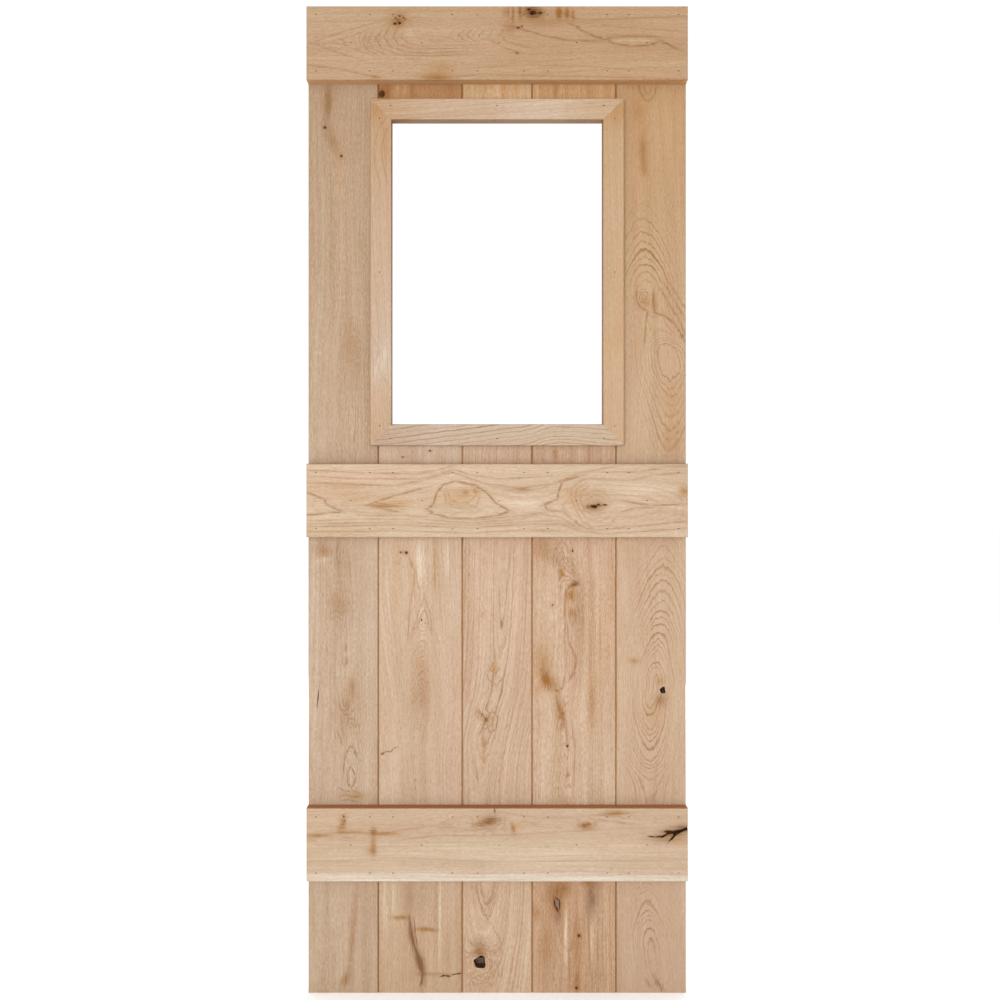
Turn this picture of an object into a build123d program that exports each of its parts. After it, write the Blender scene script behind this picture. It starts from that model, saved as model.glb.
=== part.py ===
from build123d import *
import os

# A ledged cottage door leaf, in millimetres.
# X runs across the leaf, Z runs up it, and Y runs from the ledged face to the plain face.
# The origin lies on the floor line, below the middle of the leaf.

# Leaf
leaf_width = 762.0
leaf_height = 1981.0

# Upright boards, tongued and grooved, with a V at each joint
board_thickness = 20.0
centre_board_width = 141.0
joint_gap = 0.6
joint_chamfer = 2.0
tongue_thickness = 6.0
tongue_length = 8.0
tongue_clearance = 0.3
board_arris = 1.0

# Ledges across the boards
ledge_thickness = 22.0
ledge_height = 147.0
ledge_arris = 2.5
bottom_ledge_floor_gap = 233.0

# Mitred window frame: a rebated one on the ledged face and a plain one on the other
sight_width = 424.0
sight_height = 611.0
frame_face_width = 42.5
frame_thickness = 12.0
frame_arris = 1.0
glazing_lip_width = 10.0
glazing_lip_depth = 8.0
aperture_clearance = 0.5
gap_above_window = 33.5
gap_below_window = 37.0
frame_lap_past_joint = 14.5

# Nails and pins: square wire with a T head and a chisel point, punched below the surface
head_width = 3.2
head_depth = 1.4
wire_width = 1.8
wire_thickness = 1.6
point_length = 3.0
punch_depth = 1.0
nail_row_inset = 17.5
nail_tip_cover = 3.0
pin_tip_spacing = 2.0
rail_pin_inset = 14.0
stile_pin_past_joint = 4.0

# Nail places across each board from the left: left pair, middle nail and right pair
nail_width_shares = (
    (0.14, 0.63, 0.90),
    (0.19, 0.53, 0.89),
    (0.22, 0.53, 0.88),
    (0.18, 0.52, 0.88),
    (0.16, 0.42, 0.865),
)
# Pin places along each frame member, from its middle, in sight lengths
pin_length_shares = (-0.505, 0.0, 0.505)

# Open knots in the ledged face of two boards
large_knot_width = 24.0
large_knot_height = 26.0
large_knot_depth = 7.0
small_knot_width = 11.5
small_knot_height = 14.0
small_knot_depth = 5.0
knot_floor_share = 0.75
large_knot_across_share = 0.25
large_knot_up_share = 0.0315
small_knot_across_share = 0.667
small_knot_up_share = 0.3086
# Outline points from a knot's middle, in half widths and half heights
knot_outline_shares = (
    (-1.0, 0.3),
    (-0.15, 0.85),
    (0.35, 1.0),
    (0.8, 0.75),
    (0.9, 0.1),
    (1.0, -0.5),
    (0.75, -0.98),
    (0.1, -1.0),
    (-0.55, -0.9),
    (-0.85, -0.4),
)

# Forked split that runs in from the right end of the bottom ledge
split_length = 64.0
split_rise = 30.0
split_depth = 5.0
split_height_share = 0.547
# Outline points from the ledge's end and from the split's foot: top edge, upper tip, left branch and prong
split_outline_shares = (
    (0.0, 1.0),
    (0.19, 0.83),
    (0.46, 0.68),
    (0.76, 0.67),
    (0.65, 0.56),
    (0.82, 0.36),
    (1.0, 0.33),
    (0.79, 0.25),
    (0.63, 0.48),
    (0.48, 0.52),
    (0.44, 0.40),
    (0.63, 0.0),
    (0.48, 0.14),
    (0.35, 0.45),
    (0.19, 0.62),
    (0.0, 0.79),
)

# One overrun for every cut
overrun = 5.0

# Depths, with the leaf centred on y = 0
leaf_depth = ledge_thickness + board_thickness + frame_thickness
ledge_face_y = -leaf_depth / 2
board_face_y = ledge_face_y + ledge_thickness
board_back_y = board_face_y + board_thickness

# Heights, stacked down from the top of the leaf
frame_width = sight_width + 2 * frame_face_width
frame_height = sight_height + 2 * frame_face_width
top_ledge_z = leaf_height - ledge_height
frame_top_z = top_ledge_z - gap_above_window
sight_centre_z = frame_top_z - frame_height / 2
middle_ledge_z = frame_top_z - frame_height - gap_below_window - ledge_height
ledge_heights = {"top": top_ledge_z, "middle": middle_ledge_z, "bottom": bottom_ledge_floor_gap}

# Hole in the boards, as wide as the glazing lip needs
aperture_margin = glazing_lip_width + aperture_clearance
aperture_width = sight_width + 2 * aperture_margin
aperture_height = sight_height + 2 * aperture_margin

# Joint lines across the leaf: the window frame laps over the two outer ones
outer_joint_x = frame_width / 2 - frame_lap_past_joint
inner_joint_x = centre_board_width / 2
joint_lines = (-leaf_width / 2, -outer_joint_x, -inner_joint_x, inner_joint_x, outer_joint_x, leaf_width / 2)
board_spans = tuple(zip(joint_lines[:-1], joint_lines[1:]))


# Nails and pins


def wire_profile(length, above):
    """Side outline of a nail driven along +Y, with its head carried up by the given height."""
    head = head_width / 2
    wire = wire_width / 2
    right = [(head, -above), (head, head_depth), (wire, head_depth), (wire, length - point_length)]
    left = [(-x, y) for x, y in reversed(right)]
    return make_face(Polyline(*right, (0, length), *left, close=True))


def nail(length):
    return extrude(wire_profile(length, 0), wire_thickness / 2, both=True)


def nail_hole(length):
    return extrude(wire_profile(length, punch_depth + overrun), wire_thickness / 2, both=True)


ledge_nail_length = ledge_thickness + board_thickness - punch_depth - nail_tip_cover
frame_pin_length = frame_thickness - punch_depth + (board_thickness - pin_tip_spacing) / 2


def ledge_nail_places(ledge_z):
    """Four corner nails and a middle one where the ledge crosses each board."""
    low = ledge_z + nail_row_inset
    middle = ledge_z + ledge_height / 2
    high = ledge_z + ledge_height - nail_row_inset
    places = []
    for (left, right), (near_share, middle_share, far_share) in zip(board_spans, nail_width_shares):
        width = right - left
        spots = [(near_share, low), (near_share, high), (middle_share, middle), (far_share, low), (far_share, high)]
        places += [Pos(left + share * width, ledge_face_y + punch_depth, z) for share, z in spots]
    return places


# Window frame: each member is laid out along X with its sight edge on z = 0 and its outer edge above

member_places = {
    "head": (sight_width, Location((0, 0, sight_centre_z + sight_height / 2), (0, 0, 0))),
    "sill": (sight_width, Location((0, 0, sight_centre_z - sight_height / 2), (0, 180, 0))),
    "left_stile": (sight_height, Location((-sight_width / 2, 0, sight_centre_z), (0, -90, 0))),
    "right_stile": (sight_height, Location((sight_width / 2, 0, sight_centre_z), (0, 90, 0))),
}
stile_pin_inset = frame_lap_past_joint + stile_pin_past_joint


def frame_pin_places(side):
    """Pins through every member, from the ledged face or from the plain face."""
    if side == "back":
        face_y = board_face_y - frame_thickness + punch_depth
        turn = Rot(0, 0, 0)
    else:
        face_y = board_back_y + frame_thickness - punch_depth
        turn = Rot(0, 0, 180)
    places = []
    for name, (sight_length, place) in member_places.items():
        inset = stile_pin_inset if "stile" in name else rail_pin_inset
        for share in pin_length_shares:
            places.append(place * Pos(share * sight_length, face_y, frame_face_width - inset) * turn)
    return places


def back_section():
    """Flat face on the boards, with a glazing lip that reaches into the hole."""
    face_y = board_face_y - frame_thickness
    lip_y = board_face_y + glazing_lip_depth
    section = make_face(
        Polyline(
            (face_y, 0),
            (lip_y, 0),
            (lip_y, glazing_lip_width),
            (board_face_y, glazing_lip_width),
            (board_face_y, frame_face_width),
            (face_y, frame_face_width),
            close=True,
        )
    )
    return chamfer(section.vertices().sort_by(Axis.X)[:2], frame_arris)


def front_section():
    """Plain strip whose inner edge is level with the hole in the boards."""
    face_y = board_back_y + frame_thickness
    section = make_face(
        Polyline(
            (board_back_y, aperture_margin),
            (face_y, aperture_margin),
            (face_y, frame_face_width),
            (board_back_y, frame_face_width),
            close=True,
        )
    )
    return chamfer(section.vertices().sort_by(Axis.X)[-2:], frame_arris)


def mitred(section, sight_length):
    """A length of the section, cut at 45 degrees at both ends."""
    half = sight_length / 2
    outer_half = half + frame_face_width
    bar = extrude(Plane.YZ * section, outer_half, both=True)
    outline = Polyline(
        (-half, 0), (half, 0), (outer_half, frame_face_width), (-outer_half, frame_face_width), close=True
    )
    return bar & extrude(Plane.XZ * make_face(outline), leaf_depth, both=True)


# Boards


def board_outline(index):
    """Cross-section of one board, laid outward from a centre board with a tongue on both edges."""
    left, right = board_spans[index]
    middle = len(board_spans) // 2
    has_joint = {"left": index > 0, "right": index < len(board_spans) - 1}
    has_tongue = {"left": index <= middle, "right": index >= middle}
    left += joint_gap / 2 if has_joint["left"] else 0
    right -= joint_gap / 2 if has_joint["right"] else 0
    middle_y = board_face_y + board_thickness / 2
    outline = Pos((left + right) / 2, middle_y) * Rectangle(right - left, board_thickness)
    for side, edge_x in (("left", left), ("right", right)):
        corners = [v for v in outline.vertices() if abs(v.X - edge_x) < joint_gap / 2]
        outline = chamfer(corners, joint_chamfer if has_joint[side] else board_arris)
    for side, edge_x, outward in (("left", left, -1), ("right", right, 1)):
        if not has_joint[side]:
            continue
        if has_tongue[side]:
            reach = tongue_length + joint_chamfer
            tongue_x = edge_x + outward * (tongue_length - reach / 2)
            outline += Pos(tongue_x, middle_y) * Rectangle(reach, tongue_thickness)
        else:
            depth = tongue_length - joint_gap + tongue_clearance
            groove_x = edge_x - outward * (depth - overrun) / 2
            outline -= Pos(groove_x, middle_y) * Rectangle(depth + overrun, tongue_thickness + 2 * tongue_clearance)
    return outline


def knot_outline(width, height):
    """Rounded, uneven outline of an open knot."""
    points = [(x * width / 2, z * height / 2) for x, z in knot_outline_shares]
    return make_face(Spline(*points, periodic=True))


def open_knot(width, height, depth):
    """Tapered pocket, sunk along +Y from the plane y = 0."""
    mouth = Plane.XZ * knot_outline(width, height)
    floor = Plane.XZ.offset(-depth) * knot_outline(knot_floor_share * width, knot_floor_share * height)
    return loft([mouth, floor])


def knot_place(index, across_share, up_share):
    left, right = board_spans[index]
    return Pos(left + across_share * (right - left), board_face_y, up_share * leaf_height)


# Ledges


def end_split():
    """Forked split in the face of the bottom ledge, open at its right end."""
    foot_z = bottom_ledge_floor_gap + split_height_share * ledge_height
    points = [(leaf_width / 2 - x * split_length, foot_z + z * split_rise) for x, z in split_outline_shares]
    outline = Plane.XZ.offset(-ledge_face_y) * make_face(Polyline(*points, close=True))
    return extrude(outline, split_depth, both=True)


def ledge(ledge_z):
    centre_y = ledge_face_y + ledge_thickness / 2
    bar = Pos(0, centre_y, ledge_z + ledge_height / 2) * Box(leaf_width, ledge_thickness, ledge_height)
    return fillet(bar.faces().sort_by(Axis.Y)[0].edges(), ledge_arris)


# Assembly

parts = {}
board_cuts = []

for name, ledge_z in ledge_heights.items():
    places = ledge_nail_places(ledge_z)
    holes = [place * nail_hole(ledge_nail_length) for place in places]
    parts[f"{name}_ledge"] = ledge(ledge_z) - holes
    parts[f"{name}_ledge_nails"] = Compound([place * nail(ledge_nail_length) for place in places])
    board_cuts += holes
parts["bottom_ledge"] -= end_split()

for side, section in (("back", back_section()), ("front", front_section())):
    places = frame_pin_places(side)
    holes = [place * nail_hole(frame_pin_length) for place in places]
    for name, (sight_length, place) in member_places.items():
        parts[f"{side}_frame_{name}"] = place * mitred(section, sight_length) - holes
    parts[f"{side}_frame_pins"] = Compound([place * nail(frame_pin_length) for place in places])
    board_cuts += holes

boards = [extrude(board_outline(index), leaf_height) for index in range(len(board_spans))]
aperture = Pos(0, 0, sight_centre_z) * Box(aperture_width, leaf_depth, aperture_height)
large_knot = open_knot(large_knot_width, large_knot_height, large_knot_depth)
small_knot = open_knot(small_knot_width, small_knot_height, small_knot_depth)
board_cuts += [
    aperture,
    knot_place(2, large_knot_across_share, large_knot_up_share) * large_knot,
    knot_place(4, small_knot_across_share, small_knot_up_share) * small_knot,
]
left_edge, left_wide, centre, right_wide, right_edge = [board - board_cuts for board in boards]
centre_lower, centre_upper = centre.solids().sort_by(Axis.Z)
parts |= {
    "left_edge_board": left_edge,
    "left_wide_board": left_wide,
    "centre_board_upper": centre_upper,
    "centre_board_lower": centre_lower,
    "right_wide_board": right_wide,
    "right_edge_board": right_edge,
}

os.makedirs("parts", exist_ok=True)
for name, shape in parts.items():
    export_step(shape, f"parts/{name}.step")
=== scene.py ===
import math
from collections import namedtuple

import bpy
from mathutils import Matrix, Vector


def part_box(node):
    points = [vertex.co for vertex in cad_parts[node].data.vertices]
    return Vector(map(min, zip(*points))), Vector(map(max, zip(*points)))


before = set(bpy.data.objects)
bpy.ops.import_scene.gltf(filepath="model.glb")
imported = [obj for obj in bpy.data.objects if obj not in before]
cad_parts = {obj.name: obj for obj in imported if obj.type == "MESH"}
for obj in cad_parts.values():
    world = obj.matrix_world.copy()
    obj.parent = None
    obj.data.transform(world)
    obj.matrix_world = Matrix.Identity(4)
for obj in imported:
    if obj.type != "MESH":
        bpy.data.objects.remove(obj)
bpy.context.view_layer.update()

# Lengths are in millimetres unless their name says otherwise
MM = 0.001

# The photograph's frame, and the camera that gives it
PHOTO_SIDE_PX = 1000
CAMERA_X = 5.7
CAMERA_Z = 995.0
CAMERA_DISTANCE = 1886.0
VIEW_WIDTH = 2019.0
SENSOR_WIDTH = 36.0
BOARD_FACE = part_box("left_edge_board")[0].y / MM
CAMERA_Y = BOARD_FACE - CAMERA_DISTANCE

# Light on a face that looks at the camera, next to that of the white surroundings
FACE_LIGHT = 1.665

# Tones are on the display's scale, and this is the usual one of a clean planed face
DISPLAY_WHITE = 255
PLAIN_OAK = (203, 172, 145)


def on_leaf(node, column, row):
    """Place on a node's ledged face, as (x, z), that shows at this column and row of the photograph."""
    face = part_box(node)[0].y / MM
    scale = VIEW_WIDTH / PHOTO_SIDE_PX * (face - CAMERA_Y) / CAMERA_DISTANCE
    middle = PHOTO_SIDE_PX / 2
    return CAMERA_X + (column - middle) * scale, CAMERA_Z - (row - middle) * scale


def linear(value):
    """Linear share of a display value, by the display's standard curve."""
    value /= DISPLAY_WHITE
    return value / 12.92 if value <= 0.04045 else ((value + 0.055) / 1.055) ** 2.4


def seen(red, green, blue):
    """Colour of a surface that shows as this tone in the studio light."""
    return (*(linear(value) / FACE_LIGHT for value in (red, green, blue)), 1.0)


def stain(red, green, blue):
    """What a stain that shows as this tone on plain oak does to the colour of the wood."""
    return (*(linear(value) / linear(plain) for value, plain in zip((red, green, blue), PLAIN_OAK)), 1.0)


# Node trees written as arithmetic


class Wire:
    """One value in a material, joined to others by ordinary arithmetic."""

    def __init__(self, tree, socket):
        self.tree = tree
        self.socket = socket

    def math(self, operation, *others):
        return self.tree.node("ShaderNodeMath", dict(enumerate((self, *others))), operation=operation)

    def __add__(self, other):
        return self.math("ADD", other)

    def __sub__(self, other):
        return self.math("SUBTRACT", other)

    def __mul__(self, other):
        return self.math("MULTIPLY", other)

    def __truediv__(self, other):
        return self.math("DIVIDE", other)

    def plus(self, factor, other):
        """This value times a factor, plus another value."""
        return self.math("MULTIPLY_ADD", factor, other)

    def rise(self, low, high):
        """0 at low, 1 at high, with a soft ramp between."""
        inputs = {"Value": self, "From Min": low, "From Max": high}
        return self.tree.node("ShaderNodeMapRange", inputs, interpolation_type="SMOOTHSTEP")

    def fall(self, low, high):
        """1 at low, 0 at high, with a soft ramp between."""
        inputs = {"Value": self, "From Min": low, "From Max": high, "To Min": 1.0, "To Max": 0.0}
        return self.tree.node("ShaderNodeMapRange", inputs, interpolation_type="SMOOTHSTEP")

    def fade(self):
        """1 at zero, dying away as the value grows."""
        return self.tree.node("ShaderNodeMath", {0: 1 / math.e, 1: self}, operation="POWER")


class Tree:
    """The nodes of one material."""

    # Sockets of a mix node that carry its factor and colours
    MIX_FACTOR, MIX_FIRST, MIX_SECOND, MIX_RESULT = 0, 6, 7, 2

    def __init__(self, name):
        self.material = bpy.data.materials.new(name)
        self.material.use_nodes = True
        self.material.node_tree.nodes.clear()

    def node(self, kind, inputs, output=0, **settings):
        node = self.material.node_tree.nodes.new(kind)
        for key, value in settings.items():
            setattr(node, key, value)
        for key, value in inputs.items():
            if isinstance(value, Wire):
                self.material.node_tree.links.new(value.socket, node.inputs[key])
            else:
                node.inputs[key].default_value = value
        return Wire(self, node.outputs[output])

    def finish(self, shader):
        """Makes this shader the material's surface."""
        end = self.material.node_tree.nodes.new("ShaderNodeOutputMaterial")
        self.material.node_tree.links.new(shader.socket, end.inputs["Surface"])
        return self.material

    def split(self, vector):
        parts = self.node("ShaderNodeSeparateXYZ", {0: vector}).socket.node.outputs
        return [Wire(self, part) for part in parts]

    def join(self, x, y, z):
        return self.node("ShaderNodeCombineXYZ", {0: x, 1: y, 2: z})

    def dot(self, vector, weights):
        return self.node("ShaderNodeVectorMath", {0: vector, 1: weights}, "Value", operation="DOT_PRODUCT")

    def noise(self, point, detail):
        """Smooth noise about zero, with features one unit across."""
        inputs = {"Vector": point, "Scale": 1.0, "Detail": detail}
        return self.node("ShaderNodeTexNoise", inputs, normalize=False)

    def random(self, number):
        return self.node("ShaderNodeTexWhiteNoise", {"W": number}, noise_dimensions="1D")

    def mix(self, factor, first, second, **settings):
        inputs = {self.MIX_FACTOR: factor, self.MIX_FIRST: first, self.MIX_SECOND: second}
        return self.node("ShaderNodeMix", inputs, self.MIX_RESULT, data_type="RGBA", **settings)

    def tinted(self, factor, colour, tint):
        """The colour multiplied by a tint, as far as the factor says."""
        return self.mix(factor, colour, tint, blend_type="MULTIPLY")

    def stepped(self, steps, colour, step):
        """The colour made lighter or darker by so many steps."""
        white = (1.0, 1.0, 1.0, 1.0)
        one_step = (*(1 + part for part in step), 1.0)
        return self.tinted(1.0, colour, self.mix(steps, white, one_step, clamp_factor=False))

    def share(self, value, low, high):
        return self.node("ShaderNodeMapRange", {"Value": value, "From Min": low, "From Max": high})

    def curve(self, value, points):
        """A smooth curve through given points, flat beyond the first and last."""
        low, high = points[0][0], points[-1][0]
        top = max(abs(y) for _, y in points) or 1.0
        made = self.node("ShaderNodeFloatCurve", {"Value": self.share(value, low, high)})
        mapping = made.socket.node.mapping
        mapping.use_clip = False
        line = mapping.curves[0]
        places = [((x - low) / (high - low), y / top) for x, y in points]
        line.points[0].location = places[0]
        line.points[-1].location = places[-1]
        for place in places[1:-1]:
            line.points.new(*place)
        mapping.update()
        return made * top

    def ramp(self, value, stops):
        """Colours blended along a value, from given stops."""
        low, high = stops[0][0], stops[-1][0]
        made = self.node("ShaderNodeValToRGB", {"Fac": self.share(value, low, high)})
        elements = made.socket.node.color_ramp.elements
        for index, (place, colour) in enumerate(stops):
            position = (place - low) / (high - low)
            element = elements[index] if index in (0, 1) else elements.new(position)
            element.position = position
            element.color = colour
        return made


# Oak: the growth rings of a log, cut by the faces of the piece

Oak = namedtuple(
    "Oak",
    "along tones pith ring_width flow plain_rings grain figures knots eyes stains contours cracks hollows",
    defaults=((),) * 7,
)
# What a row of each table of a piece holds
ROWS = {
    "pith": namedtuple("Pith", "column row below lift", defaults=(0.0,)),
    "figures": namedtuple("Figure", "column row width height strength"),
    "knots": namedtuple("Knot", "column row width height core halo swirl", defaults=(0.0, 0.0)),
    "eyes": namedtuple("Eye", "column row width height rings strength turn", defaults=(0,)),
    "stains": namedtuple("Stain", "column row width height colour strength turn", defaults=(0,)),
    "contours": namedtuple("Contour", "width strength points"),
    "cracks": namedtuple("Crack", "width colour points"),
    "hollows": namedtuple("Hollow", "column row width height from_depth colour"),
}

# Layers of the grain: length along it, width across it, place in the noise, detail, and weight in the tone
Grain = namedtuple("Grain", "length width place detail weight", defaults=(2.0, 0.0))
WANDER = Grain(260.0, 90.0, 0.0)
BANDS = Grain(520.0, 15.0, 3.0, weight=0.5)
STRIPES = Grain(240.0, 3.2, 5.0, 3.0, weight=0.55)
THREADS = Grain(22.0, 1.9, 7.0, weight=0.6)
FLECKS = Grain(8.0, 1.4, 8.0, weight=1.15)
FIBRES = Grain(26.0, 1.0, 9.0, weight=0.45)
PORES = Grain(9.0, 0.6, 11.0, 1.0, weight=0.4)
CLOUDS = Grain(170.0, 45.0, 13.0, weight=0.45)
TINTS = Grain(800.0, 24.0, 15.0)
CURL = Grain(24.0, 15.0, 17.0)
FEATHER = Grain(30.0, 3.4, 20.0, 3.0)
FRAY = Grain(30.0, 3.4, 40.0, 3.0)
RAGGED = Grain(26.0, 7.0, 60.0, 3.0)

# How far the layers move lines and marks, and how deep marks go
WANDER_REACH = 3.0
RAGGED_REACH = 1.4
FEATHER_ALONG = 6.0
FEATHER_ACROSS = 1.3
KNOT_FEATHER_SHARE = 0.15
STROKE_OVERLAP = 1.35
SWIRL_TIMES = 2.4
FACE_SKIN = 5.0
CORE_SKIN = 10.0
HOLLOW_LIP = 0.8
CURL_SHARE = 0.22
HALO_FADE = 0.25
CORE_FIBRES = 0.4
RING_UNEVENNESS = 0.06
RING_NOISE_DETAIL = 2.0
TONE_SHIFT = 0.04

# Where soft edges start and end
PORE_RISE = (0.3, 0.8)
RING_RISE = (0.6, 0.92)
RING_FALL = (0.92, 1.0)
EYE_RISE = (0.35, 0.75)
EYE_FALL = (0.75, 1.0)
EYE_RIM = (0.7, 1.1)
CORE_RIM = (0.4, 1.3)
HOLLOW_RIM = (0.9, 1.0)
HOLLOW_SKIN = (0.0, 0.3)
HOLLOW_END = (0.9, 0.99)
EDGE_LIGHT_TURN = (0.2, 0.5)
SIDE_SHADE_TURN = (0.3, 0.9)
END_TURN = (0.75, 0.95)
JOINT_RISE = (0.45, 0.6)
JOINT_FALL = (0.8, 0.95)

# How the strength of a mark follows a layer: the layer's factor, and the usual strength
RING_SPREAD = (0.6, 0.45)
RING_CLOUDING = (0.4, 0.9)
STAIN_STREAKS = (0.6, 1.0)
LINE_BREAKS = (0.6, 0.9)
CORE_BREAKS = (0.7, 0.9)
CRACK_BREAKS = (1.0, 1.2)
HOLLOW_BREAKS = (0.5, 1.0)

# Planed surface
BUMP_FIBRES = 0.5
BUMP_PORES = 0.7
BUMP_STRENGTH = 0.2
BUMP_HEIGHT = 0.3
OAK_ROUGHNESS = 0.64
STRIPE_ROUGHNESS = 0.06
PORE_ROUGHNESS = 0.08
OAK_SPECULAR = 0.08

# Cores of knots, and the painted shade inside knot holes and splits
BLACK = seen(16, 8, 5)
HOLLOW_SHADE_AND_KNOT = seen(46, 24, 15)
DARK = seen(70, 40, 24)
UMBER = seen(146, 102, 66)
SLATE = seen(150, 120, 102)
AMBER = seen(188, 136, 86)
TAWNY = seen(136, 100, 74)

# Stains in the face
BROWN = stain(150, 108, 66)
RUST = stain(170, 121, 69)
ORANGE = stain(190, 142, 88)
GREY = stain(142, 110, 97)
CREAM = stain(226, 206, 180)
SAPWOOD = stain(226, 209, 191)

# What one step of tone, a ring line, end grain or a joint does to the colour of the wood, and the painted
# light on side faces and painted shade on ledge tops and window reveals
TONE_STEP = (0.15, 0.225, 0.31)
PINK_STEP = (0.018, -0.018, 0.006)
LINE_TINT = (0.64, 0.51, 0.39, 1.0)
# Painted light: the side faces of every piece made lighter and warmer than the light there leaves them
EDGE_LIGHT_TINT = (1.16, 1.03, 0.84, 1.0)
# Painted shade: the tops of the ledges and the reveals of the window made darker
LEDGE_TOP_SHADE_TINT = (0.67, 0.45, 0.31, 1.0)
REVEAL_SHADE_TINT = (0.48, 0.42, 0.36, 1.0)
END_TINT = (0.86, 0.80, 0.72, 1.0)
JOINT_TINT = (0.92, 0.78, 0.61, 1.0)

# Painted shade on one side of a piece: the top of a ledge, and the reveals of the window
SIDE_SHADE_TINTS = {
    "ledge": ((0.0, 0.0, 1.0), LEDGE_TOP_SHADE_TINT),
    "head": ((0.0, 0.0, -1.0), REVEAL_SHADE_TINT),
    "sill": ((0.0, 0.0, 1.0), REVEAL_SHADE_TINT),
    "left_stile": ((1.0, 0.0, 0.0), REVEAL_SHADE_TINT),
    "right_stile": ((-1.0, 0.0, 0.0), REVEAL_SHADE_TINT),
}


def named_rows(oak):
    """The piece with a name for each value in its tables."""
    tables = {name: [kind(*row) for row in getattr(oak, name)] for name, kind in ROWS.items()}
    return oak._replace(**tables)


class Stock:
    """A piece of oak: where a point lies along, across and below its ledged face."""

    SEEDS = 97

    def __init__(self, node, oak):
        self.node = node
        self.oak = named_rows(oak)
        self.tree = Tree(f"oak_{node}")
        self.upright = oak.along == "Z"
        self.seed = float(sum(map(ord, node)) % self.SEEDS)
        place = self.tree.node("ShaderNodeTexCoord", {}, output="Object")
        x, y, z = (part * (1 / MM) for part in self.tree.split(place))
        self.along, self.across = (z, x) if self.upright else (x, z)
        self.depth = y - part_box(node)[0].y / MM
        feather = self.noise(FEATHER, self.across)
        frayed = self.noise(FRAY, self.across)
        self.frayed_point = self.moved_point(feather * FEATHER_ALONG, frayed * FEATHER_ACROSS)
        self.steady_point = self.moved_point(
            feather * (FEATHER_ALONG * KNOT_FEATHER_SHARE), frayed * (FEATHER_ACROSS * KNOT_FEATHER_SHARE)
        )

    def moved_point(self, along, across):
        return self.tree.join(self.along + along, self.across + across, 1.0)

    def spot(self, column, row):
        """Place along and across the piece, from the photograph's column and row."""
        x, z = on_leaf(self.node, column, row)
        return (z, x) if self.upright else (x, z)

    def way(self, place):
        """Place along the piece, from the row of an upright piece or the column of a level one."""
        return self.spot(place, place)[0]

    def noise(self, grain, across):
        below = self.depth.plus(1 / grain.width, self.seed + grain.place)
        point = self.tree.join(self.along / grain.length, across / grain.width, below)
        return self.tree.noise(point, grain.detail)

    def stroke(self, point, middle, lean, half_long, half_wide):
        """Square of the distance from an oval's middle, counted in its half length and half width."""
        cos, sin = math.cos(lean), math.sin(lean)
        along, across = middle
        long_axis = (cos / half_long, sin / half_long, -(along * cos + across * sin) / half_long)
        wide_axis = (-sin / half_wide, cos / half_wide, (along * sin - across * cos) / half_wide)
        lengthways = self.tree.dot(point, long_axis)
        sideways = self.tree.dot(point, wide_axis)
        return sideways.plus(sideways, lengthways * lengthways)

    def oval(self, point, mark, times=1.0):
        """The same for a mark, made so many times larger and turned clockwise by its degrees."""
        sides = (mark.height, mark.width) if self.upright else (mark.width, mark.height)
        half_long, half_wide = (side * times / 2 for side in sides)
        turn = math.radians(getattr(mark, "turn", 0))
        lean = turn if self.upright else -turn
        return self.stroke(point, self.spot(mark.column, mark.row), lean, half_long, half_wide)

    def patch(self, mark):
        """The same for a stain, frayed by the grain where it is longest along it."""
        with_grain = (mark.height > mark.width) == self.upright
        return self.oval(self.frayed_point if with_grain else self.steady_point, mark)

    def chain(self, line, frays):
        """The same for a line of overlapping strokes, frayed where it runs with the grain."""
        places = [Vector(self.spot(column, row)) for column, row in line.points]
        nearest = None
        for start, end in zip(places, places[1:]):
            run = end - start
            with_grain = abs(run.x) > abs(run.y)
            point = self.frayed_point if frays and with_grain else self.steady_point
            half_long = run.length / 2 * STROKE_OVERLAP
            stroke = self.stroke(point, (start + end) / 2, math.atan2(run.y, run.x), half_long, line.width)
            nearest = nearest.math("MINIMUM", stroke) if nearest else stroke
        return nearest


def ring_field(stock, across):
    """Distance from the pith of the log, with the rings lifted into arches and pushed aside by knots."""
    tree, oak = stock.tree, stock.oak
    pith = sorted((*stock.spot(place.column, place.row), place.below, place.lift) for place in oak.pith)
    offset = across - tree.curve(stock.along, [(along, side) for along, side, _, _ in pith])
    below = tree.curve(stock.along, [(along, below) for along, _, below, _ in pith]) + stock.depth
    rings = below.plus(below, offset * offset).math("SQRT")
    if any(place.lift for place in oak.pith):
        rings = rings + tree.curve(stock.along, [(along, lift) for along, _, _, lift in pith])
    rings = stock.noise(RAGGED, across).plus(RAGGED_REACH, rings)
    for knot in oak.knots:
        if knot.swirl:
            reach = stock.oval(stock.steady_point, knot, SWIRL_TIMES)
            rings = reach.fade().plus(knot.swirl * oak.ring_width, rings)
    return rings


def ring_lines(stock, rings):
    """The thin dark line of each ring, strong only where the figure shows."""
    tree, oak = stock.tree, stock.oak
    unevenness = tree.noise(tree.join(rings * RING_UNEVENNESS, stock.seed, 0.0), RING_NOISE_DETAIL)
    turns = rings.plus(1 / oak.ring_width, unevenness)
    share = turns.math("FRACT")
    line = share.rise(*RING_RISE) * share.fall(*RING_FALL)
    line = line * tree.random(turns.math("FLOOR")).plus(*RING_SPREAD)
    shown = None
    for figure in oak.figures:
        window = stock.oval(stock.frayed_point, figure).fade()
        shown = window.plus(figure.strength, shown or oak.plain_rings)
    return line * (shown or oak.plain_rings)


def eye_lines(stock, eye, curl):
    """Closed rings about a knot or a swirl, fading out towards their edge."""
    radius = stock.oval(stock.steady_point, eye).math("SQRT")
    share = (curl.plus(CURL_SHARE, radius) * eye.rings).math("FRACT")
    line = share.rise(*EYE_RISE) * share.fall(*EYE_FALL)
    return line * radius.fall(*EYE_RIM) * eye.strength


# What the marks of a piece follow: layers of its grain, and how near the ledged face is
Layers = namedtuple("Layers", "stripes threads fibres clouds near_face")


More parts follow.
